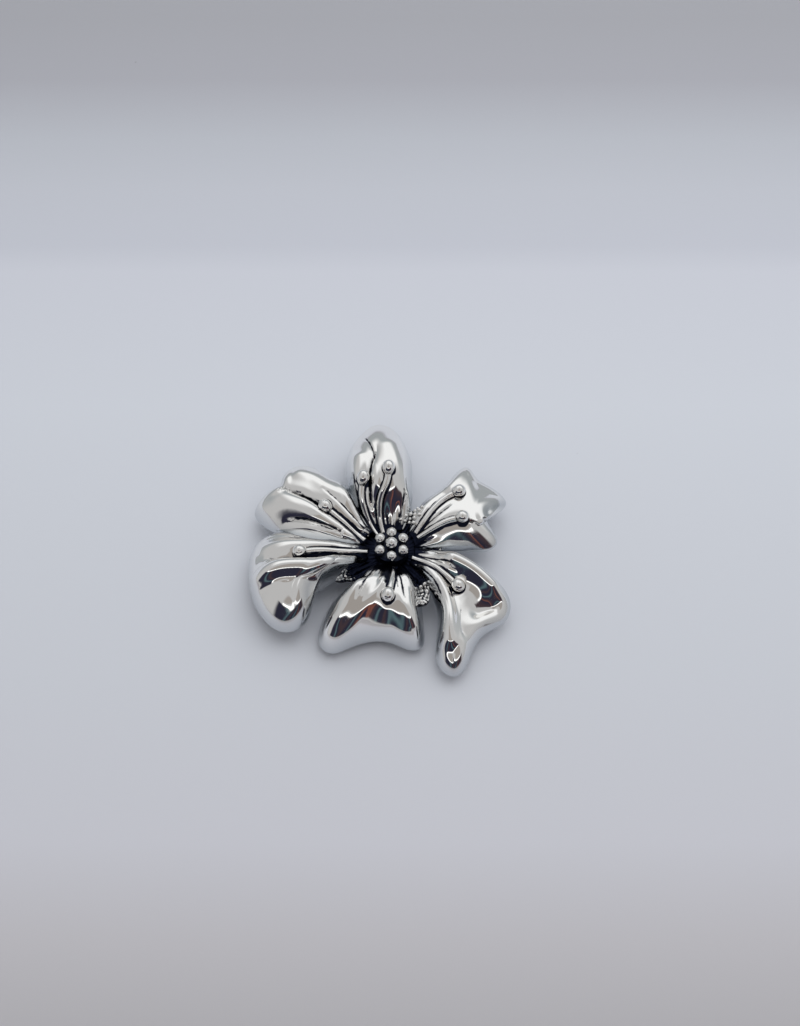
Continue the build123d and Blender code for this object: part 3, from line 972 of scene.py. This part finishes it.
def silver_material():
    """The petals' and stamens' silver, aged and with painted shade where their attributes say."""
    material, tree, shader = new_material("polished_silver")
    finish_silver(tree, shader, attribute_node(tree, "tarnish_and_shadow"), attribute_node(tree, "dull_and_rim_shade"))
    return material


def bead_material(low, high):
    """The beads' silver, oxidised round their feet."""
    material, tree, shader = new_material("bead_silver")
    feet = range_node(tree, place_node(tree, "Object", "Z"), (low, high), (1, 0))
    finish_silver(tree, shader, feet, range_node(tree, feet, (0, 1), (0.25, 0.8)))
    return material


def oxide_material():
    """Blue-black oxidised silver, matt and slightly mottled."""
    material, tree, shader = new_material("oxidised_silver")
    shader.inputs["Metallic"].default_value = 1.0
    mottle = noise_node(tree, OXIDE_MOTTLE, 5.0)
    colour = mix_node(tree, range_node(tree, mottle, (0.4, 0.7), (0, 1)), OXIDE_AND_SHADOW_BLACK, OXIDE_WORN)
    tree.links.new(colour, shader.inputs["Base Color"])
    tree.links.new(range_node(tree, mottle, (0.3, 0.7), OXIDE_ROUGHNESS), shader.inputs["Roughness"])
    add_bump(tree, shader, mottle, strength=0.3, depth=0.1 * MM)
    return material


def steel_material():
    """Plated steel of the pin and its catch, with fine drawn lines along x."""
    material, tree, shader = new_material("finding_steel")
    shader.inputs["Metallic"].default_value = 1.0
    drawn = noise_node(tree, STEEL_GRAIN, 4.0, stretch=STEEL_STRETCH)
    tree.links.new(mix_node(tree, drawn, STEEL, STEEL_WORN), shader.inputs["Base Color"])
    tree.links.new(range_node(tree, drawn, (0.3, 0.7), STEEL_ROUGHNESS), shader.inputs["Roughness"])
    add_bump(tree, shader, drawn, strength=0.15, depth=0.05 * MM)
    return material


def paper_material():
    """Pale paper with painted shade towards the back and the very front, faint fibres and a few specks."""
    material, tree, shader = new_material("paper")
    shader.inputs["Roughness"].default_value = PAPER_ROUGHNESS
    depth = range_node(tree, place_node(tree, "Object", "Y"), PAPER_SPAN, (0, 1))
    # Painted light and shade: a pale pool in the middle, darker towards the back and the very front.
    shade = ramp_node(tree, depth, PAPER_COLOUR_AND_SHADE)
    place = tree.nodes.new("ShaderNodeTexCoord")
    specks = tree.nodes.new("ShaderNodeTexVoronoi")
    specks.inputs["Scale"].default_value = SPECKS
    tree.links.new(place.outputs["Object"], specks.inputs["Vector"])
    speck = range_node(tree, specks.outputs["Distance"], SPECK_EDGE, SPECK_SHADE)
    tree.links.new(mix_node(tree, 1.0, shade, speck, blend="MULTIPLY"), shader.inputs["Base Color"])
    add_bump(tree, shader, noise_node(tree, PAPER_FIBRES, 6.0), strength=0.15, depth=0.2 * MM)
    return material


# ---- Stage ---------------------------------------------------------------------------------------------
def make_camera():
    """The camera, above and in front of the flower."""
    pitch = math.radians(CAMERA_ELEVATION)
    forward = Vector((0, math.cos(pitch), -math.sin(pitch)))
    right = Vector((1, 0, 0))
    up = right.cross(forward)
    off_centre = right * BEADS_OFF_CENTRE[0] + up * BEADS_OFF_CENTRE[1]
    data = bpy.data.cameras.new("camera")
    data.lens = CAMERA_LENS
    data.sensor_width = CAMERA_SENSOR
    data.clip_start = 0.001
    camera = bpy.data.objects.new("camera", data)
    camera.location = FLOWER - (forward * CAMERA_DISTANCE + off_centre) * MM
    camera.rotation_euler = (math.pi / 2 - pitch, 0, 0)
    bpy.context.scene.collection.objects.link(camera)
    bpy.context.scene.camera = camera


def room_measures(tree):
    """What the areas of the room are laid out by, for each direction."""
    x = place_node(tree, "Generated", "X")
    towards_viewer = math_node(tree, "MULTIPLY", place_node(tree, "Generated", "Y"), -1.0)
    side = math_node(tree, "ARCTAN2", x, towards_viewer)
    wide = math_node(tree, "ABSOLUTE", side)
    height = math_node(tree, "ARCSINE", place_node(tree, "Generated", "Z"))
    return {"x": x, "side": side, "wide": wide, "height": height}


def room_area(tree, measures, edges):
    """1 inside an area of the room and 0 outside it."""
    share = 1.0
    for measure, start, full in edges:
        edge = range_node(tree, measures[measure], (start, full), (0, 1), smooth=True)
        share = math_node(tree, "MULTIPLY", edge, share)
    return share


def make_room():
    """The softly lit room that the silver mirrors, with a dark striped view behind the viewer."""
    world = bpy.data.worlds.new("light_tent")
    world.use_nodes = True
    bpy.context.scene.world = world
    tree = world.node_tree
    measures = room_measures(tree)
    colour = ROOM_COLOUR
    for area_colour, edges in ROOM_AREAS:
        colour = mix_node(tree, room_area(tree, measures, edges), colour, area_colour)
    across = range_node(tree, measures["side"], (-1.0, 1.0), (0, 1), smooth=True)
    view = ramp_node(tree, across, VIEW_STRIPES, interpolation="EASE")
    colour = mix_node(tree, room_area(tree, measures, VIEW_EDGES), colour, view)
    background = tree.nodes["Background"]
    tree.links.new(colour, background.inputs["Color"])
    background.inputs["Strength"].default_value = ROOM_STRENGTH


def make_softbox():
    """A large soft light above and behind that the metal doesn't mirror."""
    data = bpy.data.lights.new("softbox", "AREA")
    data.size = SOFTBOX_SIZE
    data.energy = SOFTBOX_POWER
    softbox = bpy.data.objects.new("softbox", data)
    softbox.location = SOFTBOX_PLACE
    softbox.rotation_euler = Vector(SOFTBOX_PLACE).to_track_quat("Z", "Y").to_euler()
    softbox.visible_glossy = False
    bpy.context.scene.collection.objects.link(softbox)


def make_floor():
    corners = [(PAPER_REACH * x, PAPER_REACH * y, 0) for x, y in ((-1, -1), (1, -1), (1, 1), (-1, 1))]
    floor = new_mesh("paper", corners, [(0, 1, 2, 3)])
    floor.data.materials.append(paper_material())


# ---- Making --------------------------------------------------------------------------------------------
bpy.context.scene.view_settings.view_transform = "Standard"
make_camera()
make_room()
make_softbox()
make_floor()

silver = silver_material()
shells = {petal_name: petal_shell(petal_name) for petal_name in PETALS}
for petal_name, petal_parts in shells.items():
    make_petal(petal_name, petal_parts, silver)
for stamen_name, (petal_name, _) in STAMENS.items():
    make_stamen(stamen_name, shells[petal_name][0], silver)
make_web(silver)
make_grains([petal_parts[0] for petal_parts in shells.values()], silver)

bead_silver = bead_material(*(bead_low.z + offset * MM for offset in BEAD_DARK))
finishes = {"polished_silver": silver, "oxidised_silver": oxide_material(), "finding_steel": steel_material()}
for part in frame["record"]["subparts"]:
    node = frame["nodes"][part["node"]]
    node.data.materials.clear()
    node.data.materials.append(bead_silver if part["node"] in BEADS else finishes[part["material_slot"]])
